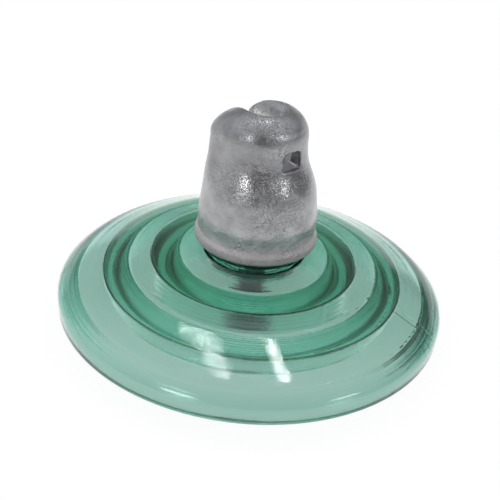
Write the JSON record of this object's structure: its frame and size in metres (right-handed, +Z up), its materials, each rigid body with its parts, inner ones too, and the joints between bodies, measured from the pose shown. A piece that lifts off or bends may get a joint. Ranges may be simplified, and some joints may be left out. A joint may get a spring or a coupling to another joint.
{
  "type": "cap and pin glass disc insulator",
  "caption": "Suspension disc insulator: ribbed toughened-glass shell under a cast socket cap with its locking clip, and a forged ball-headed pin below.",
  "frame": {"origin": "centre of the socket's ball seat in the cap, on the unit's axis, where the ball of the unit above hangs", "axes": "+Z up the unit's axis towards the cap's top; +X towards the window that the locking clip comes out of; the ball of the unit above goes in from -X"},
  "size_m": [0.255, 0.255, 0.1518],
  "materials": {
    "cap_iron": "hot-dip galvanised, rough",
    "shell_glass": "clear sea-green, fire-polished",
    "pin_steel": "hot-dip galvanised, satin",
    "cement": "matte mortar",
    "cushion": "matte cork",
    "clip_wire": "drawn stainless wire"
  },
  "bodies": {
    "unit": {"cap": "cap_iron", "glass_shell": "shell_glass", "pin": "pin_steel", "cap_pad": "cushion", "pin_pad": "cushion", "cap_cement": "cement", "pin_cement": "cement"},
    "clip": {"locking_clip": "clip_wire"}
  },
  "joints": [
    {"name": "clip_slide", "type": "slide", "parent": "unit", "child": "clip", "axis": [1, 0, 0], "range_m": [0, 0.01]}
  ]
}
